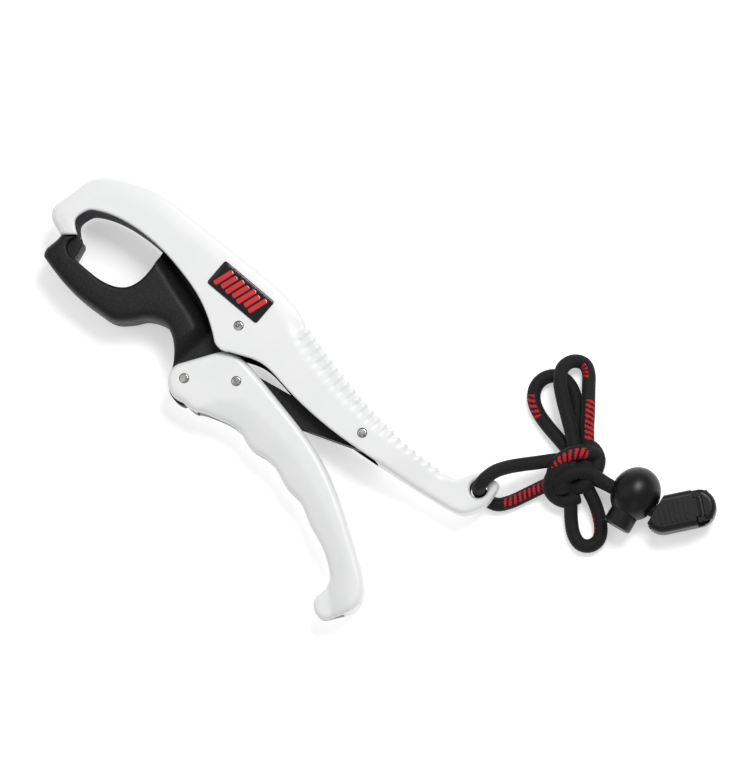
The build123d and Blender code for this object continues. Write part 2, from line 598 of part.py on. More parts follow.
with BuildPart() as cord_end_lid:
    add(capsule.part)
    with BuildSketch(end_level(LID_GAP)):
        Rectangle(100, 100)
    extrude(amount=-20, mode=Mode.SUBTRACT)
    with BuildSketch(end_level(0)):
        with Locations((LID_PIVOT_X - KNUCKLE_R - 0.4 + 50, 0)):
            Rectangle(100, 40)
    extrude(amount=20, mode=Mode.SUBTRACT)
    with BuildSketch(end_side.offset(-KNUCKLE_HALF)):
        with Locations((LID_PIVOT_X, LID_PIVOT_Z)):
            Circle(KNUCKLE_R)
        with Locations((LID_PIVOT_X - KNUCKLE_R / 2 - 0.5, LID_PIVOT_Z)):
            Rectangle(KNUCKLE_R + 1.0, 2 * KNUCKLE_R - 1.0)
    extrude(amount=2 * KNUCKLE_HALF)
    with BuildSketch(end_side):
        with Locations((LID_PIVOT_X, LID_PIVOT_Z)):
            Circle(LID_PIN_R + RUNNING)
    extrude(amount=20, both=True, mode=Mode.SUBTRACT)
    with BuildSketch(end_level(0)):
        with Locations((-8.0, 0)):
            Rectangle(20.0, THROAT_WIDE)
    extrude(amount=END_THROAT, mode=Mode.SUBTRACT)
    for k in range(6):
        with BuildSketch(end_level(END_HALF - 0.1)):
            with Locations((-8.5 + 2.2 * k, 0)):
                SlotOverall(9.0, 1.1, rotation=90)
        extrude(amount=0.6)
cord_end_lid.part.label = "cord_end_lid"
export_step(cord_end_lid.part, "parts/cord_end_lid.step")

with BuildPart() as cord_end_pin:
    with BuildSketch(end_side.offset(-KNUCKLE_HALF - 1.9)):
        with Locations((LID_PIVOT_X, LID_PIVOT_Z)):
            Circle(LID_PIN_R)
    extrude(amount=2 * KNUCKLE_HALF + 3.8)
cord_end_pin.part.label = "cord_end_pin"
export_step(cord_end_pin.part, "parts/cord_end_pin.step")


# ---- the cord: routes of straight runs and tangent arcs, X and Y from the jaw pivot ----
def tangent_radii(points):
    """The arc at each inner point of a route: 0.45 of its shorter run over tan(half the turn)."""
    steps = [Vector(*b) - Vector(*a) for a, b in zip(points, points[1:])]
    radii = []
    for a, b in zip(steps, steps[1:]):
        turn = radians(a.get_angle(b))
        radii.append(0.45 * min(a.length, b.length) / tan(turn / 2))
    return radii


def cord(name, route):
    """A cord's tube along a route, written to its own file."""
    points = [(PIVOT_X + x, PIVOT_Y + y, z) for x, y, z in route]
    radii = tangent_radii(points)
    with BuildPart() as tube:
        with BuildLine() as path:
            FilletPolyline(*points, radius=radii)
        wire = path.wires()[0]
        with BuildSketch(Plane(origin=wire @ 0, z_dir=wire % 0)):
            Circle(CORD_R)
        sweep(path=wire)
    length = wire.length
    share = tube.part.volume / (length * pi * CORD_R ** 2)
    print(f"{name}: {length:.0f} mm, volume share {share:.3f}, radii", *[f"{r:.0f}" for r in radii])
    tube.part.label = name
    export_step(tube.part, f"parts/{name}.step")


cord("cord_tail_loop", TAIL_LOOP)
cord("cord_left_loop", LEFT_LOOP)
cord("cord_top_loop", TOP_LOOP)
cord("cord_bottom_loop", BOTTOM_LOOP)

# the knot is one closed solid of its outer shape
with BuildPart() as cord_knot:
    with BuildSketch(level(KNOT_LOW)):
        with BuildLine():
            Spline(*KNOT_OUTLINE, periodic=True)
        make_face()
    extrude(amount=KNOT_HIGH - KNOT_LOW)
    levels = cord_knot.faces().group_by(Axis.Z)
    fillet(levels[0].edges() + levels[-1].edges(), radius=3.5)
cord_knot.part.label = "cord_knot"
export_step(cord_knot.part, "parts/cord_knot.step")

# the cord's two ends, pressed together one over the other, run through the lock to the cord end
with BuildPart() as cord_ends:
    with BuildSketch(cord_plane.offset(ENDS_START - BALL_X)):
        SlotOverall(STRANDS_TALL, CORD_D, rotation=90)
    extrude(amount=ENDS_STOP - ENDS_START)
cord_ends.part.label = "cord_ends"
export_step(cord_ends.part, "parts/cord_ends.step")
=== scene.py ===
import bpy
import bmesh
import math
import numpy as np
from mathutils import Matrix, Vector
from mathutils.geometry import delaunay_2d_cdt


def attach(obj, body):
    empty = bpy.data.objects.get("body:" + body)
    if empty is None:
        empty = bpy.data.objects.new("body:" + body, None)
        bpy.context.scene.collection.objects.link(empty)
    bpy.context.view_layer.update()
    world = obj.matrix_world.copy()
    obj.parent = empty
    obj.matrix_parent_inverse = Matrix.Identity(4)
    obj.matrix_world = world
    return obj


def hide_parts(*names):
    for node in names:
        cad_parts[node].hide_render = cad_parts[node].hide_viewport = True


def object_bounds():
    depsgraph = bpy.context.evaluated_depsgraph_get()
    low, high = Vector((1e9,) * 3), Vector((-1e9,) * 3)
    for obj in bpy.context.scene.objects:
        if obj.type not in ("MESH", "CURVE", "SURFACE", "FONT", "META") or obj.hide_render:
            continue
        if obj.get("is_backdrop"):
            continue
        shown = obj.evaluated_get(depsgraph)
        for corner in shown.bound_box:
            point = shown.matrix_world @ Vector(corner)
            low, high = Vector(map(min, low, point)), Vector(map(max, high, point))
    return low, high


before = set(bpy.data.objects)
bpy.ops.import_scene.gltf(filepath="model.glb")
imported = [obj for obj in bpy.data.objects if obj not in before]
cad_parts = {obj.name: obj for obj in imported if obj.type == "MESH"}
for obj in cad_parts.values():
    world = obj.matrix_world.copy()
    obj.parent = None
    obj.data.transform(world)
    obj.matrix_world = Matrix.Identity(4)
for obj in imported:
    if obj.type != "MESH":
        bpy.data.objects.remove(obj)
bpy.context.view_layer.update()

# Outlines and routes are in millimetres from the jaw pivot, as in the CAD; heights are above the
# floor. Everything is turned to metres in the row frame when its mesh is made.
PIVOT = np.array([-17.24, 28.50])
MID = 12.5
CORD_D = 6.0
CORD_END_R = 2.85
HALF_BODY = 12.5
LEVER_TOP = 21.5
JAW_TOP = 23.5
COVER_WALL, LEVER_WALL = 1.5, 1.4
PIN_SEAT_R = 2.2
HOLE_R = 3.75
DASH_PITCH, DASH_LENGTH = 2.3, 1.15


# ---------------------------------------------------------------- materials
def material(name, colour, rough, **extra):
    """A node material with a principled shader; extra sets more of the shader's own sockets."""
    m = bpy.data.materials.new(name)
    m.use_nodes = True
    shader = m.node_tree.nodes["Principled BSDF"]
    shader.inputs["Base Color"].default_value = (*colour, 1)
    shader.inputs["Roughness"].default_value = rough
    shader.inputs["Specular IOR Level"].default_value = 0.5 if max(colour) > 0.3 else 0.28
    for socket, value in extra.items():
        shader.inputs[socket.replace("_", " ")].default_value = value
    return m


def node(m, kind, inputs=None, **settings):
    """A new node in m. inputs gives socket values, or the output sockets that feed them."""
    n = m.node_tree.nodes.new(kind)
    for key, value in settings.items():
        setattr(n, key, value)
    for socket, value in (inputs or {}).items():
        if isinstance(value, bpy.types.NodeSocket):
            m.node_tree.links.new(value, n.inputs[socket])
        else:
            n.inputs[socket].default_value = value
    return n


def feed(m, output, socket):
    m.node_tree.links.new(output, m.node_tree.nodes["Principled BSDF"].inputs[socket])


def ramp(m, factor, stops):
    """A colour ramp over factor, with (place, colour) stops."""
    n = node(m, "ShaderNodeValToRGB", {"Fac": factor})
    while len(n.color_ramp.elements) < len(stops):
        n.color_ramp.elements.new(0.5)
    for element, (place, colour) in zip(n.color_ramp.elements, stops):
        element.position = place
        element.color = (*colour, 1)
    return n.outputs["Color"]


def grain(m, size, height, rough_low, rough_high, colour_a, colour_b, soft_size=0.02):
    """Moulded grain: fine bump and roughness at size metres, and a faint cloudiness of colour."""
    where = node(m, "ShaderNodeTexCoord").outputs["Object"]
    fine = node(m, "ShaderNodeTexNoise", {"Vector": where, "Scale": 1 / size, "Detail": 3.0,
                                          "Roughness": 0.6}).outputs["Fac"]
    broad = node(m, "ShaderNodeTexNoise", {"Vector": where, "Scale": 1 / soft_size,
                                           "Detail": 2.0}).outputs["Fac"]
    feed(m, ramp(m, broad, ((0.3, colour_a), (0.7, colour_b))), "Base Color")
    rough = node(m, "ShaderNodeMapRange", {"Value": fine, "From Min": 0.3, "From Max": 0.7,
                                           "To Min": rough_low, "To Max": rough_high})
    feed(m, rough.outputs["Result"], "Roughness")
    bump = node(m, "ShaderNodeBump", {"Height": fine, "Distance": height, "Strength": 0.6})
    feed(m, bump.outputs["Normal"], "Normal")
    return fine


white = material("white_plastic", (0.86, 0.865, 0.86), 0.4, Coat_Weight=0.15, Coat_Roughness=0.25)
grain(white, 0.0011, 0.00002, 0.34, 0.46, (0.79, 0.795, 0.80), (0.82, 0.822, 0.818))

nylon = material("black_nylon", (0.02, 0.02, 0.02), 0.5)
grain(nylon, 0.00045, 0.00012, 0.40, 0.62, (0.014, 0.0145, 0.0145), (0.024, 0.0245, 0.024))
where = node(nylon, "ShaderNodeTexCoord").outputs["Object"]
pits = node(nylon, "ShaderNodeTexVoronoi", {"Vector": where, "Scale": 1500.0}).outputs["Distance"]
feed(nylon, ramp(nylon, pits, ((0.1, (0.030, 0.029, 0.026)), (0.34, (0.007, 0.007, 0.0068)),
                               (1.0, (0.004, 0.0042, 0.0042)))), "Base Color")

# the body frame's colour: partly the frame's own black, partly painted deep shade of the body's channel,
# and its navy tint is a painted reflection of blue sky; its shine is turned almost off
black_with_painted_shade = material("frame_black_painted_shade", (0.010, 0.012, 0.030), 0.5, Specular_IOR_Level=0.06)
grain(black_with_painted_shade, 0.004, 0.00002, 0.45, 0.6, (0.003, 0.004, 0.014), (0.006, 0.008, 0.026))

satin_black = material("lock_plastic", (0.02, 0.02, 0.02), 0.35)
grain(satin_black, 0.0008, 0.00003, 0.28, 0.40, (0.004, 0.004, 0.0045), (0.008, 0.008, 0.0085))

badge_black = material("badge_plastic", (0.006, 0.006, 0.008), 0.08, Coat_Weight=0.35)
grain(badge_black, 0.003, 0.00001, 0.06, 0.12, (0.005, 0.005, 0.007), (0.009, 0.009, 0.012))

badge_red = material("badge_red", (0.75, 0.02, 0.02), 0.2, Coat_Weight=1.0)
grain(badge_red, 0.002, 0.00001, 0.15, 0.25, (0.58, 0.010, 0.014), (0.66, 0.016, 0.020))

steel = material("pin_steel", (0.62, 0.6, 0.57), 0.22, Metallic=1.0)
grain(steel, 0.0007, 0.00002, 0.16, 0.32, (0.22, 0.215, 0.205), (0.85, 0.84, 0.81),
      soft_size=0.0016)

# the cord: black braid, with the woven red marks carried by a face attribute
braid = material("woven_cord", (0.02, 0.02, 0.02), 0.75, Sheen_Weight=0.06, Sheen_Roughness=0.4)
where = node(braid, "ShaderNodeTexCoord").outputs["Object"]
thread = node(braid, "ShaderNodeTexNoise", {"Vector": where, "Scale": 2600.0, "Detail": 2.0})
dark = ramp(braid, thread.outputs["Fac"], ((0.3, (0.002, 0.002, 0.0025)),
                                           (0.75, (0.013, 0.013, 0.014))))
mark = node(braid, "ShaderNodeAttribute", attribute_name="mark").outputs["Fac"]
mixed = node(braid, "ShaderNodeMix", data_type="RGBA")
mixed.inputs[7].default_value = (0.52, 0.010, 0.016, 1)
braid.node_tree.links.new(dark, mixed.inputs[6])
braid.node_tree.links.new(mark, mixed.inputs[0])
feed(braid, mixed.outputs[2], "Base Color")
fuzz = node(braid, "ShaderNodeBump", {"Height": thread.outputs["Fac"], "Distance": 0.00015,
                                      "Strength": 0.7})
feed(braid, fuzz.outputs["Normal"], "Normal")


# ---------------------------------------------------------------- mesh helpers
def dress(obj, m, body, slot, *nodes):
    """Gives obj its material and its body, and hides the CAD nodes that it stands for; slot is not used.
    """
    obj.data.materials.clear()
    obj.data.materials.append(m)
    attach(obj, body)
    if nodes:
        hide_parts(*nodes)
    return obj


def mesh_object(name, verts, faces, sharp=35):
    """A smooth-shaded object from millimetres from the jaw pivot, its edges sharp over an angle."""
    verts = np.asarray(verts, float).copy()
    verts[:, :2] += PIVOT
    mesh = bpy.data.meshes.new(name)
    mesh.from_pydata((verts / 1000).tolist(), [], faces)
    obj = bpy.data.objects.new(name, mesh)
    bpy.context.collection.objects.link(obj)
    smooth(mesh, sharp)
    return obj


def smooth(mesh, sharp=35):
    mesh.polygons.foreach_set("use_smooth", [True] * len(mesh.polygons))
    mesh.set_sharp_from_angle(angle=math.radians(sharp))


def settle(obj, sharp=35):
    """Applies obj's modifiers to its mesh."""
    bpy.context.view_layer.update()
    dg = bpy.context.evaluated_depsgraph_get()
    mesh = bpy.data.meshes.new_from_object(obj.evaluated_get(dg))
    obj.modifiers.clear()
    obj.data = mesh
    smooth(mesh, sharp)
    return obj


def area(line):
    """An outline's area, positive where it runs against the clock."""
    ahead = np.roll(line, -1, 0)
    return 0.5 * (line[:, 0] * ahead[:, 1] - ahead[:, 0] * line[:, 1]).sum()


def rims(name, z_low, z_high):
    """The closed outlines of a CAD node's upward faces between two heights, the longest first."""
    bm = bmesh.new()
    bm.from_mesh(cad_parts[name].data)
    bmesh.ops.remove_doubles(bm, verts=bm.verts, dist=2e-6)
    bm.normal_update()
    follow = {}
    for edge in bm.edges:
        if len(edge.link_faces) != 2:
            continue
        a, b = edge.link_faces
        if (a.normal.z > 0.5) == (b.normal.z > 0.5):
            continue
        top, side = (a, b) if a.normal.z > 0.5 else (b, a)
        if abs(side.normal.z) > 0.35 or not z_low < edge.verts[0].co.z * 1000 < z_high:
            continue
        for corner in top.loops:
            if corner.edge == edge:
                follow[corner.vert] = corner.link_loop_next.vert
    loops = []
    while follow:
        start, vert = follow.popitem()
        loop = [start]
        while vert is not None and vert is not start:
            loop.append(vert)
            vert = follow.pop(vert, None)
        line = np.array([(v.co.x * 1000, v.co.y * 1000) for v in loop]) - PIVOT
        loops.append(line if area(line) > 0 else line[::-1])
    bm.free()
    return sorted(loops, key=lambda l: -np.linalg.norm(np.roll(l, -1, 0) - l, axis=1).sum())


def divide(line, step):
    """A closed outline with its sides divided to at most step."""
    out = []
    for a, b in zip(line, np.roll(line, -1, 0)):
        count = max(1, math.ceil(np.linalg.norm(b - a) / step))
        out += [a + (b - a) * k / count for k in range(count)]
    return np.array(out)


def curve(*parts, step=0.7, closed=True):
    """An outline through each part's points, smooth within a part and cornered between parts."""
    out = []
    for part in parts:
        p = np.array(part, float)
        ext = np.vstack([2 * p[0] - p[1], p, 2 * p[-1] - p[-2]])
        for i in range(1, len(ext) - 2):
            p0, p1, p2, p3 = ext[i - 1:i + 3]
            count = max(1, math.ceil(np.linalg.norm(p2 - p1) / step))
            for t in np.arange(count) / count:
                out.append(0.5 * (2 * p1 + (p2 - p0) * t + (2 * p0 - 5 * p1 + 4 * p2 - p3) * t ** 2
                                  + (3 * p1 - p0 - 3 * p2 + p3) * t ** 3))
        if not closed:
            out.append(p[-1])
    return np.array(out)


def nearest(points, line, closed=True):
    """Distance from each point to a line, and the nearest point's place as a fractional index."""
    a = line if closed else line[:-1]
    ab = (np.roll(line, -1, 0) - line) if closed else (line[1:] - line[:-1])
    size = np.maximum((ab ** 2).sum(1), 1e-12)
    far, place = [], []
    for k in range(0, len(points), 2000):
        p = points[k:k + 2000, None]
        t = np.clip(((p - a) * ab).sum(2) / size, 0, 1)
        d = np.linalg.norm(p - (a + t[..., None] * ab), axis=2)
        i = d.argmin(1)
        far.append(d[np.arange(len(i)), i])
        place.append(i + t[np.arange(len(i)), i])
    return np.concatenate(far), np.concatenate(place)


def inside(points, line):
    """Which points lie within a closed outline."""
    a, b = line, np.roll(line, -1, 0)
    x, y = points[:, 0, None], points[:, 1, None]
    cross = (a[:, 1] > y) != (b[:, 1] > y)
    with np.errstate(divide="ignore", invalid="ignore"):
        at = a[:, 0] + (y - a[:, 1]) * (b[:, 0] - a[:, 0]) / (b[:, 1] - a[:, 1])
    return ((cross & (x < at)).sum(1) % 2) == 1


def skin(name, outer, top, low, holes=(), hole_deep=0.9, grid=1.4,
         rings=(0.12, 0.35, 0.7, 1.15, 1.7, 2.4, 3.2, 4.2)):
    """A moulded face and its side wall. top(points, distance, place) gives the face's heights, from
    the distance to the outline and the nearest place on it; low is the wall's foot at each of the
    outline's points. holes are outlines that the face stops at, with a wall hole_deep down."""
    loops = [outer, *holes]
    edge_points = np.vstack(loops)
    ahead, behind = np.roll(outer, -1, 0), np.roll(outer, 1, 0)
    along = ahead - behind
    normal = np.stack([-along[:, 1], along[:, 0]], 1) / np.maximum(
        np.linalg.norm(along, axis=1), 1e-9)[:, None]
    inner = []
    for ring in rings:
        p = outer + normal * ring
        d, _ = nearest(p, outer)
        inner.append(p[(d > 0.93 * ring) & inside(p, outer)])
    lo, hi = outer.min(0), outer.max(0)
    xs = np.arange(lo[0], hi[0], grid)
    ys = np.arange(lo[1], hi[1], grid * 0.866)
    field = np.array([(x + (j % 2) * grid / 2, y) for j, y in enumerate(ys) for x in xs])
    field = field[inside(field, outer)]
    d, _ = nearest(field, outer)
    inner.append(field[d > rings[-1] + 0.5])
    for hole in holes:
        centre = hole.mean(0)
        spread = np.linalg.norm(hole[0] - centre)
        inner += [centre + (hole - centre) * (1 + gap / spread) for gap in (0.15, 0.5, 1.1)]
    inner = np.vstack(inner)
    cell = np.round(inner / 0.3).astype(int)
    _, first = np.unique(cell, axis=0, return_index=True)
    inner = inner[np.sort(first)]
    for hole in holes:
        inner = inner[~inside(inner, hole)]
        inner = inner[nearest(inner, hole)[0] > 0.1]
    points = np.vstack([edge_points, inner])
    edges, start = [], 0
    for loop in loops:
        n = len(loop)
        edges += [(start + k, start + (k + 1) % n) for k in range(n)]
        start += n
    flat, _, tris, *_ = delaunay_2d_cdt([Vector(p) for p in points], edges, [], 0, 1e-6, False)
    flat = np.array([tuple(p) for p in flat])
    tris = np.array([t for t in tris if len(t) == 3])
    middle = flat[tris].mean(1)
    keep = inside(middle, outer)
    for hole in holes:
        keep &= ~inside(middle, hole)
    tris = tris[keep]
    d, place = nearest(flat, outer)
    z = top(flat, d, place)
    verts = [tuple(v) for v in np.column_stack([flat, z])]
    faces = [tuple(int(k) for k in t) for t in tris]
    start = 0
    for number, loop in enumerate(loops):
        n = len(loop)
        foot = len(verts)
        for k in range(n):
            bottom = min(low[k], z[start + k] - 0.6) if number == 0 else z[start + k] - hole_deep
            verts.append((loop[k][0], loop[k][1], bottom))
        wall = [(start + (k + 1) % n, start + k, foot + k, foot + (k + 1) % n) for k in range(n)]
        faces += wall if number == 0 else [quad[::-1] for quad in wall]
        start += n
    return verts, faces


def ease(x):
    x = np.clip(x, 0, 1)
    return x * x * (3 - 2 * x)


def rounded(d, r):
    """How far a rounded edge of radius r has fallen at distance d from it."""
    d = np.clip(d, 0, r)
    return np.sqrt(np.maximum(r * r - (r - d) ** 2, 0)) - r


def circle(centre, radius, count=40):
    a = np.arange(count) * 2 * math.pi / count
    return np.array(centre) + radius * np.stack([np.cos(a), np.sin(a)], 1)


def blur(values, outline, reach):
    """Values at an outline's points, averaged over a reach along it."""
    step = np.linalg.norm(np.roll(outline, -1, 0) - outline, axis=1)
    at = np.concatenate([[0], np.cumsum(step)])
    total = at[-1]
    at = at[:-1]
    gap = np.abs(at[:, None] - at[None])
    gap = np.minimum(gap, total - gap)
    w = np.clip(1 - gap / reach, 0, 1) * step
    return (w * values).sum(1) / w.sum(1)


def along(values, place):
    """Values of an outline's points, read at fractional places."""
    i = np.floor(place).astype(int) % len(values)
    t = place - np.floor(place)
    return values[i] * (1 - t) + values[(i + 1) % len(values)] * t


def mirrored(verts, faces):
    """The same surface on the far side of the middle plane."""
    return [(x, y, 2 * MID - z) for x, y, z in verts], [tuple(reversed(f)) for f in faces]


def shell(name, verts, faces, thickness, sharp=35):
    """A thin moulding: the surface with a wall of that thickness behind it."""
    obj = mesh_object(name, verts, faces, sharp)
    wall = obj.modifiers.new("wall", "SOLIDIFY")
    wall.thickness = thickness / 1000
    wall.offset = -1
    wall.thickness_clamp = 1.0
    wall.use_thickness_angle_clamp = True
    return settle(obj, sharp)


# ---------------------------------------------------------------- the white covers
JAW_PIN, LINK_REAR_PIN = (0.0, 0.0), (69.3, -13.2)
LEVER_PIN, LINK_PIN = (-9.2, -30.9), (10.8, -20.8)
HOLE = (123.6, -8.6)

body_line = divide(rims("front_cover", 14, 26)[0], 0.8)


def stretch(outline, first, last):
    """1 at the outline's points on the way from one point to another, going round it, else 0."""
    i = np.linalg.norm(outline - first, axis=1).argmin()
    j = np.linalg.norm(outline - last, axis=1).argmin()
    k = np.arange(len(outline))
    on = (k >= i) & (k <= j) if i <= j else (k >= i) | (k <= j)
    return on.astype(float)


# 1 on the throat and the belly, where the edge is sharper than along the back
under = stretch(body_line, (80.5, -20.5), (-85.5, -3.5))
if under.sum() > 0.6 * len(under):
    under = 1 - under
soft_under = blur(under, body_line, 5.0)

# grooves between the thumb ribs: where the outline dips below its own average
step = np.linalg.norm(np.roll(body_line, -1, 0) - body_line, axis=1)
mean = np.stack([blur(body_line[:, 0], body_line, 6.0), blur(body_line[:, 1], body_line, 6.0)], 1)
run = np.roll(body_line, -1, 0) - np.roll(body_line, 1, 0)
out_way = np.stack([run[:, 1], -run[:, 0]], 1) / np.linalg.norm(run, axis=1)[:, None]
dip = ((body_line - mean) @ np.array([0.26, 0.97]))
on_back = (body_line[:, 0] > 21) & (body_line[:, 0] < 109) & (body_line[:, 1] > -11)
grooves = [k for k in np.nonzero(on_back)[0]
           if dip[k] < -0.1 and dip[k] <= dip.take(range(k - 3, k + 4), mode="wrap").min() + 1e-9]
grooves = sorted((tuple(body_line[k]) for k in grooves))
kept = []
for g in grooves:
    if not kept or np.hypot(g[0] - kept[-1][0], g[1] - kept[-1][1]) > 2.4:
        kept.append(g)
grooves = np.array(kept)


def taper(x):
    return MID + HALF_BODY - 6.3 * ease((x - 76) / 34)


def body_top(p, d, place):
    soft = along(soft_under, place)
    x, y = p[:, 0], p[:, 1]
    round_r = 0.8 + 2.3 * (1 - soft) * (1 - 0.35 * ease((p[:, 0] - 15) / 8))
    round_r = np.minimum(round_r, np.where(x > 95, 2.2, 9))
    z = taper(x) + rounded(d, round_r)
    # the broad fall towards the crown's back edge
    z -= 0.75 * (1 - soft) * ease(1 - d / 9.0) * ease((28 - x) / 14)
    # the ribbed shoulder fades out along a soft diagonal
    limit = np.interp(x, (20, 27, 50, 70, 85, 100, 110), (9, 4, -5, -9.5, -11, -12.2, -13))
    inward = ease((y - limit + 1.0) / 5.0) * ease((x - 17) / 8) * ease((111 - x) / 5)
    away, at = nearest(p, grooves, closed=False)
    at = at + np.where(at < 0.02, -5, 0)
    wave = (0.5 + 0.5 * np.cos(2 * math.pi * at)) ** 1.6
    z -= inward * (0.82 * wave + 0.25 * ease(1 - away / 9.0)) * ease(away / 1.2 + 0.45)
    # the lanyard hole's rim
    z += rounded(np.linalg.norm(p - HOLE, axis=1) - HOLE_R, 1.3)
    return z


low = np.where(under > 0.5, 23.2, MID + 0.08)
low = np.minimum(low, taper(body_line[:, 0]) - 1.0)
holes = [circle(JAW_PIN, PIN_SEAT_R), circle(LINK_REAR_PIN, PIN_SEAT_R), circle(HOLE, HOLE_R, 48)]
verts, faces = skin("front", body_line, body_top, low, holes)
front = shell("front_shell", verts, faces, COVER_WALL)
dress(front, white, "body", "white_plastic", "front_cover")
rear = shell("rear_shell", *mirrored(verts, faces), COVER_WALL)
dress(rear, white, "body", "white_plastic", "rear_cover")

# ---------------------------------------------------------------- the lever
lever_line = divide(rims("lever", 21, 22)[0], 0.8)
web_side = stretch(lever_line, (100.6, -83.0), (-1.6, -40.6))
if web_side.sum() > 0.6 * len(web_side):
    web_side = stretch(lever_line, (-1.6, -40.6), (100.6, -83.0))
CREASE = np.array([(-8, -47), (0, -41), (5, -36), (10, -30.5), (17, -27.3), (25, -27.6), (35, -30.5),
                   (50, -36.5), (60, -42), (70, -48), (80, -55), (90, -63), (98, -73), (104, -84)])
lever_edge = blur(web_side, lever_line, 4.0)


def lever_top(p, d, place):
    z = LEVER_TOP + rounded(d, 2.2 + 0.6 * along(lever_edge, place))
    below = np.interp(p[:, 0], CREASE[:, 0], CREASE[:, 1]) - p[:, 1]
    below = 0.5 * (below + np.sqrt(below ** 2 + 1.6)) - 0.25
    z -= np.clip(0.25 * below + 0.004 * below ** 2, 0, 4.6)
    return z


low = np.where(web_side > 0.5, MID, 17.7)
holes = [circle(LEVER_PIN, PIN_SEAT_R), circle(LINK_PIN, PIN_SEAT_R)]
verts, faces = skin("lever", lever_line, lever_top, low, holes)
half = shell("lever_shell", verts, faces, LEVER_WALL)
twin = half.modifiers.new("twin", "MIRROR")
twin.use_axis = (False, False, True)
centre = bpy.data.objects.new("lever_middle", None)
bpy.context.collection.objects.link(centre)
centre.location = (0, 0, MID / 1000)
twin.mirror_object = centre
settle(half)
bpy.data.objects.remove(centre)
dress(half, white, "lever", "white_plastic", "lever")


# ---------------------------------------------------------------- the lower jaw
def block(name, outer, top, sharp=35, rings=(0.12, 0.35, 0.7, 1.15, 1.7, 2.4, 3.2, 4.2), grid=1.2,
          holes=()):
    """A closed piece, the same on both sides of the middle plane."""
    verts, faces = skin(name, outer, top, np.full(len(outer), MID), holes, grid=grid, rings=rings)
    obj = mesh_object(name, verts, faces, sharp)
    bm = bmesh.new()
    bm.from_mesh(obj.data)
    twin = bmesh.ops.duplicate(bm, geom=bm.verts[:] + bm.edges[:] + bm.faces[:])["geom"]
    for v in twin:
        if isinstance(v, bmesh.types.BMVert):
            v.co.z = 2 * MID / 1000 - v.co.z
    bmesh.ops.reverse_faces(bm, faces=[f for f in twin if isinstance(f, bmesh.types.BMFace)])
    bmesh.ops.remove_doubles(bm, verts=bm.verts, dist=1e-6)
    bm.to_mesh(obj.data)
    bm.free()
    smooth(obj.data, sharp)
    return obj


head_line = divide(rims("lower_jaw", 23, 24)[0], 0.8)
jaw_line = curve(
    [(-86.8, -4.6), (-80.7, -1.15)],
    [(-80.7, -1.15), (-82.3, -4.8), (-81.6, -8.0), (-79.0, -10.0), (-76.0, -10.3), (-70.0, -11.4),
     (-62.5, -12.4), (-55.5, -11.7), (-50.6, -9.2), (-47.6, -5.0), (-46.0, 0.5), (-45.5, 6.4),
     (-46.0, 13.2)],
    [(-46.0, 13.2), (-8.0, 8.4)],
    [(-8.0, 8.4), (0.0, 8.5), (7.6, 3.8)],
    [(7.6, 3.8), (7.3, -4.4), (2.2, -10.6), (-1.0, -16.5), (0.4, -23.4), (0.3, -30.5)],
    [(0.3, -30.5), (-2.6, -37.2), (-3.6, -40.7), (-8.0, -40.9), (-12.4, -38.8), (-15.6, -34.6),
     (-16.3, -30.8), (-18.0, -25.6), (-20.4, -21.0), (-24.2, -17.0), (-28.8, -14.9), (-36.4, -16.6),
     (-42.0, -21.2), (-48.5, -24.8), (-57.3, -24.5), (-67.0, -23.2), (-77.0, -20.6),
     (-86.2, -16.9), (-89.0, -15.3), (-89.6, -12.2)],
    [(-89.6, -12.2), (-86.8, -4.6)],
)[::-1]
throat = stretch(jaw_line, (-46.0, 13.0), (-86.8, -4.6))
if throat.sum() > 0.5 * len(throat):
    throat = 1 - throat
throat = blur(throat, jaw_line, 3.0)


def jaw_top(p, d, place):
    """The thick head falls in a soft ridge to the thin tongue that goes in between the covers."""
    near_hole = along(throat, place)
    gap, _ = nearest(p, head_line)
    gap = np.where(inside(p, head_line), -gap, gap)
    fall = ease((gap + 1.6) / np.where(p[:, 1] < -9, 6.2, 7.4)) * ease((p[:, 0] + 70) / 10)
    z = JAW_TOP - 6.75 * fall
    r = (3.6 * (1 - near_hole) + 0.9 * near_hole) * (1 - fall) + 0.6 * fall
    return z + rounded(d, r) - 0.5 * (1 - near_hole) * (1 - fall) * ease(1 - d / 8.0)


jaw = block("jaw_moulding", jaw_line, jaw_top)
tooth_line = curve([(-86.8, -4.6), (-80.7, -1.15)], [(-80.7, -1.15), (-77.9, -1.9)],
                   [(-77.9, -1.9), (-77.0, -3.3)], [(-77.0, -3.3), (-77.0, -12.5)],
                   [(-77.0, -12.5), (-80.0, -13.0)], [(-80.0, -13.0), (-84.0, -10.0)],
                   [(-84.0, -10.0), (-86.8, -4.6)], step=0.5)[::-1]
tooth = block("jaw_tooth", tooth_line, lambda p, d, place: 19.5 + rounded(d, 0.5),
              rings=(0.12, 0.3, 0.5), grid=1.0)
for piece in (jaw, tooth):
    dress(piece, nylon, "jaw", "black_nylon", "lower_jaw")

# ---------------------------------------------------------------- the badge
BADGE = np.array([-6.6, 12.9])
turn = math.radians(-10)
AX, AY = np.array([math.cos(turn), math.sin(turn)]), np.array([-math.sin(turn), math.cos(turn)])


def badge_place(p):
    """From the badge's own axes to the drawing."""
    return BADGE + np.outer(p[:, 0], AX) + np.outer(p[:, 1], AY)


def badge_local(p):
    return np.stack([(p - BADGE) @ AX, (p - BADGE) @ AY], 1)


corner = []
for cx, cy, start in ((12.8, 5.0, 0), (-12.8, 5.0, 90), (-12.8, -5.0, 180), (12.8, -5.0, 270)):
    for a in range(0, 91, 15):
        corner.append((cx + 1.2 * math.cos(math.radians(start + a)),
                       cy + 1.2 * math.sin(math.radians(start + a))))
badge_line = divide(badge_place(np.array(corner)), 0.7)


def badge_top(p, d, place):
    q = badge_local(p)
    dome = 0.30 * (1 - (q[:, 1] / 6.2) ** 2) * ease(d / 1.6)
    return 25.62 + rounded(d, 0.45) + dome


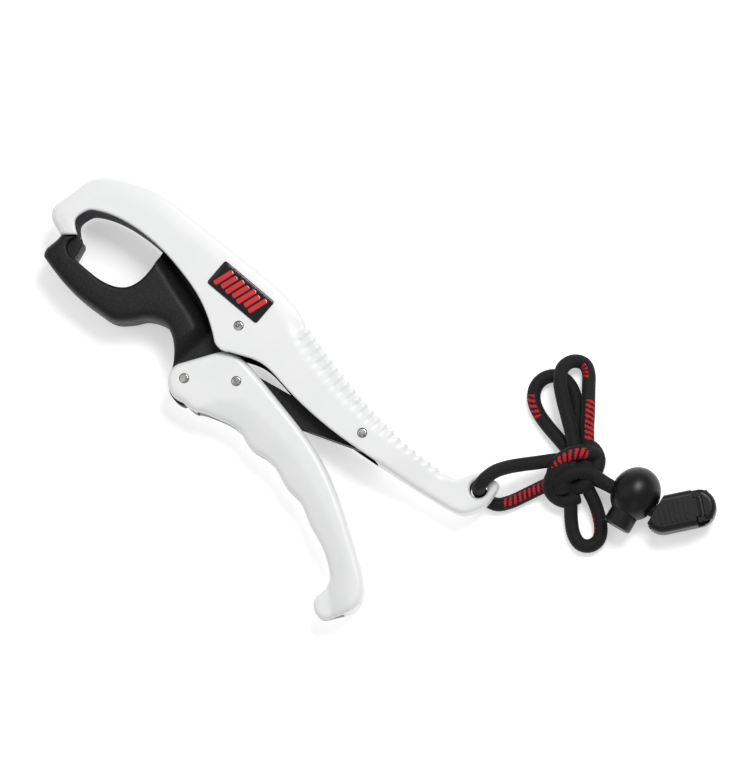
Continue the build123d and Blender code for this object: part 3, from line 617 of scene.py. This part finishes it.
verts, faces = skin("badge", badge_line, badge_top, np.full(len(badge_line), 24.9), grid=0.6,
                    rings=(0.1, 0.25, 0.45, 0.7, 0.95, 1.25, 1.6))
dress(mesh_object("badge_domed_plate", verts, faces, 50), badge_black, "body", "badge_black",
      "badge_plate")
bar_verts, bar_faces = [], []
for k in range(7):
    tall = (4.8, 4.0, 4.6, 4.1, 4.8, 3.9, 4.6)[k]
    lean = math.radians(72)
    x0 = -9.6 + 3.2 * k
    shape = []
    for side in (0, 180):
        for a in range(-90, 91, 30):
            t = math.radians(a + side)
            along_bar = (tall - 0.5) * (1 if side == 0 else -1) + 0.5 * math.cos(t)
            across = 1.12 * math.sin(t)
            shape.append((x0 + along_bar * math.cos(lean) - across * math.sin(lean),
                          along_bar * math.sin(lean) + across * math.cos(lean) + 0.1))
    bar = divide(badge_place(np.array(shape)), 0.4)
    v, f = skin("bar", bar, lambda p, d, place: badge_top(p, np.full(len(p), 3.0), place)
                + 0.10 + rounded(d, 0.12), np.full(len(bar), 25.6), grid=0.35, rings=(0.12, 0.35))
    bar_faces += [tuple(i + len(bar_verts) for i in face) for face in f]
    bar_verts += v
dress(mesh_object("badge_mark", bar_verts, bar_faces, 50), badge_red, "body", "badge_red",
      "badge_bars")

# ---------------------------------------------------------------- carried-over CAD pieces
def finish_node(name, m, width=0.0, segments=3):
    """A CAD piece keeps its shape; it gets its material and a small moulded radius on its edges."""
    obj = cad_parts[name]
    obj.data.materials.clear()
    obj.data.materials.append(m)
    if width:
        weld = obj.modifiers.new("weld", "WELD")
        weld.merge_threshold = 2e-6
        bevel = obj.modifiers.new("edge", "BEVEL")
        bevel.width = width / 1000
        bevel.segments = segments
        bevel.limit_method = "ANGLE"
        bevel.angle_limit = math.radians(40)
        bevel.harden_normals = False


for name in ("jaw_pin", "body_link_pin", "lever_pin", "link_pin", "closing_spring",
             "cord_lock_spring", "cord_end_pin"):
    finish_node(name, steel)
# the frame gets the black with painted channel shade and a painted sky reflection
finish_node("body_frame", black_with_painted_shade)
finish_node("link", nylon, 0.5)
finish_node("cord_lock_body", satin_black)
finish_node("cord_lock_button", satin_black, 0.3)
finish_node("cord_end_base", satin_black)
finish_node("cord_end_lid", satin_black)

# ---------------------------------------------------------------- the cord
TAIL_LOOP = [(149.8, 22.6, 7.5), (145.0, 19.6, 9.2), (139.6, 14.8, 11.4), (134.2, 10.2, 14.6),
             (129.2, 5.4, 18.6),
             (125.2, -0.4, 23.4), (123.6, -8.6, 24.6), (123.5, -8.8, 3.0), (131.6, -10.4, 3.05),
             (137.0, -5.2, 3.1), (141.0, 0.9, 3.1), (145.2, 7.0, 4.0), (149.0, 12.0, 6.0),
             (153.0, 15.5, 7.5)]
LEFT_LOOP = [(151.6, 24.4, 6.0), (146.0, 26.4, 5.2), (140.4, 28.4, 3.9), (134.0, 30.6, 3.1),
             (127.6, 33.4, 3.1),
             (122.6, 37.4, 3.1), (120.4, 43.2, 3.1), (122.2, 48.8, 3.1), (127.2, 52.2, 3.1),
             (133.2, 51.2, 3.1), (138.2, 47.2, 3.1), (141.6, 42.6, 3.1), (144.6, 37.6, 3.1),
             (148.4, 32.4, 3.6), (151.6, 27.6, 4.6)]
TOP_LOOP = [(152.6, 24.6, 9.4), (148.0, 29.4, 9.8), (143.4, 34.2, 9.7), (138.4, 39.2, 9.4),
            (133.2, 44.4, 9.5),
            (128.8, 49.8, 9.9), (126.8, 55.6, 8.7), (129.2, 60.6, 5.4), (134.0, 62.2, 3.6),
            (137.8, 59.2, 3.1), (140.6, 54.0, 4.6), (143.8, 48.6, 7.0), (147.0, 43.0, 8.2),
            (149.8, 37.4, 8.8), (153.0, 32.4, 9.4),
            (155.6, 27.0, 9.2)]
BOTTOM_LOOP = [(155.0, 15.0, 7.2), (157.4, 10.4, 6.2), (160.4, 5.0, 4.4), (163.4, 0.2, 3.2),
               (166.8, -4.0, 3.1),
               (171.4, -6.6, 3.1), (175.8, -5.0, 3.1), (177.8, -0.6, 3.1), (176.0, 4.2, 3.1),
               (172.4, 8.4, 3.6), (168.2, 12.2, 4.8), (163.2, 15.4, 6.6),
               (158.6, 18.2, 7.6)]
ENDS_Y = 21.3


def centreline(points):
    """A smooth line under those control points: the points of its NURBS spline, in millimetres."""
    data = bpy.data.curves.new("line", "CURVE")
    data.dimensions = "3D"
    spline = data.splines.new("NURBS")
    spline.points.add(len(points) - 1)
    for place, (x, y, z) in zip(spline.points, points):
        place.co = ((x + PIVOT[0]) / 1000, (y + PIVOT[1]) / 1000, z / 1000, 1)
    spline.order_u = 3
    spline.use_endpoint_u = True
    data.resolution_u = 24
    obj = bpy.data.objects.new("line", data)
    bpy.context.collection.objects.link(obj)
    bpy.context.view_layer.update()
    mesh = bpy.data.meshes.new_from_object(obj.evaluated_get(bpy.context.evaluated_depsgraph_get()))
    line = np.array([tuple(v.co) for v in mesh.vertices]) * 1000
    bpy.data.objects.remove(obj)
    line[:, :2] -= PIVOT
    return line


def tube(name, points, marks=(), radius=CORD_D / 2, squash=1.0):
    """A braided cord along the points. marks are stretches (from, to, side, spread) of red dashes:
    two places beside the cord, the side they face in radians from straight up, and their half
    width. Returns the piece and its centreline in metres."""
    line = centreline(points)
    gaps = np.linalg.norm(np.diff(line, axis=0), axis=1)
    keep = np.concatenate([[True], gaps > 1e-6])
    line = line[keep]
    at = np.concatenate([[0], np.cumsum(np.linalg.norm(np.diff(line, axis=0), axis=1))])
    stations = np.linspace(0, at[-1], max(8, int(at[-1] / 0.42)))
    path = np.stack([np.interp(stations, at, line[:, k]) for k in range(3)], 1)
    way = np.gradient(path, axis=0)
    way /= np.linalg.norm(way, axis=1)[:, None]
    up = np.array([0, 0, 1.0])
    across = []
    for k, t in enumerate(way):
        ref = up if k == 0 else across[-1]
        v = ref - (ref @ t) * t
        v /= np.linalg.norm(v)
        if k and abs(t[2]) < 0.8:
            u = up - t[2] * t
            u /= np.linalg.norm(u)
            v = 0.75 * v + 0.25 * u if v @ u > -0.5 else v
            v /= np.linalg.norm(v)
        across.append(v)
    across = np.array(across)
    side = np.cross(way, across)
    count = 36
    angle = np.arange(count) * 2 * math.pi / count
    s = stations[:, None]
    weave = np.cos(9 * angle + s * 2 * math.pi / 2.2) * np.cos(9 * angle - s * 2 * math.pi / 2.2)
    r = radius - 0.10 + 0.12 * weave
    ends = np.minimum(stations, stations[-1] - stations)[:, None]
    r = r * np.sqrt(np.clip(ends / 1.2, 0.02, 1))
    ring = (path[:, None] + across[:, None] * (r * np.cos(angle))[..., None] * squash
            + side[:, None] * (r * np.sin(angle))[..., None])
    n = len(stations)
    verts = ring.reshape(-1, 3)
    faces = [(k * count + j, k * count + (j + 1) % count, (k + 1) * count + (j + 1) % count,
              (k + 1) * count + j) for k in range(n - 1) for j in range(count)]
    faces.append(tuple(range(count))[::-1])
    faces.append(tuple((n - 1) * count + j for j in range(count)))
    obj = mesh_object(name, verts, faces, 80)
    # red where the woven pattern runs: plain slanted dashes
    value = np.zeros(len(faces))
    for start, stop, facing, spread in marks:
        ks = sorted(np.linalg.norm(path[:, :2] - p, axis=1).argmin() for p in (start, stop))
        s0, s1 = stations[ks[0]], stations[ks[1]]
        mid_s = np.repeat((stations[:-1] + stations[1:]) / 2, count)
        mid_a = np.tile(angle + math.pi / count, n - 1)
        v = (mid_a - facing + math.pi) % (2 * math.pi) - math.pi
        v = v * radius
        u = mid_s - s0 + 0.35 * v
        red = (u % DASH_PITCH < DASH_LENGTH) & (np.abs(v) < spread) & (mid_s > s0) & (mid_s < s1)
        value[:len(red)] = np.maximum(value[:len(red)], red)
    layer = obj.data.attributes.new("mark", "FLOAT", "FACE")
    if len(obj.data.polygons) == len(faces):
        layer.data.foreach_set("value", value)
    metres = path.copy()
    metres[:, :2] += PIVOT
    return obj, metres / 1000


for name, route, marks in (
    ("cord_tail", TAIL_LOOP, (((135, -8), (147.5, 9), 0.0, 2.3),)),
    ("cord_left", LEFT_LOOP, (((129, 32), (121.5, 39), -0.5, 2.0),)),
    ("cord_top", TOP_LOOP, (((133, 62), (139.4, 57), 0.5, 1.6),
                            ((144.2, 48), (152.5, 33.5), -0.5, 2.3))),
    ("cord_bottom", BOTTOM_LOOP, (((178, -0.5), (170, 10.5), -1.1, 0.9),)),
):
    obj, path = tube(name, route, marks)
    dress(obj, braid, "body", "woven_cord", name + "_loop")

# the knot: turns of the same cord, wrapped over each other inside the CAD solid's outline
KNOT = (
    ("knot_wrap_left", [(150.4, 7.6, 6.6), (146.8, 12.8, 9.0), (146.4, 19.4, 12.0), (149.8, 25.0, 13.3),
                        (155.0, 28.8, 11.8), (159.2, 30.2, 9.0), (161.2, 27.6, 6.2)],
     (((146.2, 15.5), (154.5, 28.6), 0.2, 2.6),), 3.3),
    ("knot_lobe_right", [(148.6, 27.0, 5.8), (151.2, 31.0, 6.6), (156.0, 31.9, 7.6),
                         (160.6, 28.9, 8.4), (162.0, 23.5, 9.0), (161.4, 17.5, 9.4),
                         (158.8, 13.6, 7.6), (155.0, 12.0, 5.6)], (), 3.4),
    ("knot_lobe_low", [(151.0, 21.0, 12.2), (148.0, 15.8, 11.6), (147.2, 10.6, 9.8),
                       (149.6, 6.6, 7.6), (154.2, 5.6, 6.2), (158.6, 7.2, 5.6), (161.0, 11.8, 5.4)],
     (), 3.3),
    ("knot_middle", [(149.4, 9.6, 9.4), (151.6, 15.0, 12.2), (155.4, 19.4, 12.8), (159.4, 21.5, 11.8),
                     (163.0, 21.4, 10.4)], (), 3.2),
    ("knot_core", [(149.6, 12.0, 6.0), (151.6, 18.0, 7.4), (155.0, 23.6, 7.4), (158.6, 25.4, 6.6)],
     (), 4.4),
    ("knot_back", [(149.0, 20.0, 5.0), (153.0, 16.6, 4.8), (156.4, 12.6, 4.8), (158.4, 16.6, 4.8)],
     (), 3.6),
    ("knot_cheek", [(153.0, 23.0, 9.2), (150.8, 18.0, 10.0), (151.4, 12.4, 9.4), (154.6, 8.4, 7.4)],
     (), 4.5),
    ("knot_fill", [(152.0, 24.4, 7.8), (155.6, 25.2, 8.6), (158.8, 23.0, 8.4), (159.6, 18.6, 8.0)],
     (), 3.6),
)
for name, route, marks, radius in KNOT:
    obj, path = tube(name, route, marks, radius=radius)
    dress(obj, braid, "body", "woven_cord", "cord_knot")

# the cord's two ends, one over the other, through the lock to the cord end
for name, route in (
    ("cord_end_lower", [(158.5, 19.4, 6.2), (163.0, 20.6, 7.2), (168.0, 21.2, 7.7), (176.0, 21.3, 7.8),
                        (185.0, 21.3, 7.8), (195.0, 21.3, 7.8)]),
    ("cord_end_upper", [(157.6, 22.6, 11.4), (162.6, 21.8, 11.6), (168.0, 21.3, 11.4), (176.0, 21.3, 11.3),
                        (185.0, 21.3, 11.2), (195.0, 21.3, 11.2)]),
):
    obj, path = tube(name, route, (), radius=CORD_END_R)
    dress(obj, braid, "body", "woven_cord", "cord_ends")

# ---------------------------------------------------------------- floor, light and camera
bpy.ops.mesh.primitive_plane_add(size=6, location=(0.04, 0.02, -0.0001))
floor = bpy.context.object
floor.name = "floor"
paper = material("paper", (0.93, 0.93, 0.93), 0.9, Emission_Color=(1, 1, 1, 1),
                 Emission_Strength=0.42)
grain(paper, 0.002, 0.00001, 0.88, 0.94, (0.925, 0.925, 0.925), (0.935, 0.935, 0.935),
      soft_size=0.4)
floor.data.materials.append(paper)
floor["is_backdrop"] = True

TARGET = Vector((0.0463, 0.0379, 0.025))
RIGHT = Vector((math.cos(math.radians(30)), math.sin(math.radians(30)), 0))
TOP = Vector((-math.sin(math.radians(30)), math.cos(math.radians(30)), 0))


def lamp(name, right, top, height, size, power, colour=(1, 1, 1)):
    """A square soft light at a place given along the picture's right, its top and the height."""
    data = bpy.data.lights.new(name, "AREA")
    data.size = size
    data.energy = power
    data.color = colour
    obj = bpy.data.objects.new(name, data)
    bpy.context.collection.objects.link(obj)
    obj.location = TARGET + RIGHT * right + TOP * top + Vector((0, 0, height))
    obj.rotation_mode = "QUATERNION"
    obj.rotation_quaternion = (TARGET - obj.location).to_track_quat("-Z", "Y")


lamp("key", 0.35, 0.50, 1.05, 0.5, 10)
lamp("fill", -0.8, 0.2, 0.9, 0.9, 1.5)
lamp("rim", 0.1, -0.9, 0.7, 0.6, 0.5)
world = bpy.data.worlds.new("studio")
bpy.context.scene.world = world
bpy.context.scene.view_settings.view_transform = "Standard"
world.use_nodes = True
world.node_tree.nodes["Background"].inputs["Color"].default_value = (1, 1, 1, 1)
world.node_tree.nodes["Background"].inputs["Strength"].default_value = 0.40

DISTANCE = 3.0
back = Vector((0.135, -0.081, 1)).normalized()
right = (RIGHT - back * RIGHT.dot(back)).normalized()
top = back.cross(right)
data = bpy.data.cameras.new("camera")
data.lens = 36 * DISTANCE / 0.3240
data.sensor_width = 36
data.clip_start, data.clip_end = 0.1, 20
camera = bpy.data.objects.new("camera", data)
bpy.context.collection.objects.link(camera)
camera.matrix_world = Matrix.Translation(TARGET + back * DISTANCE) @ Matrix(
    (right, top, back)).transposed().to_4x4()
bpy.context.scene.camera = camera

low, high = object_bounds()
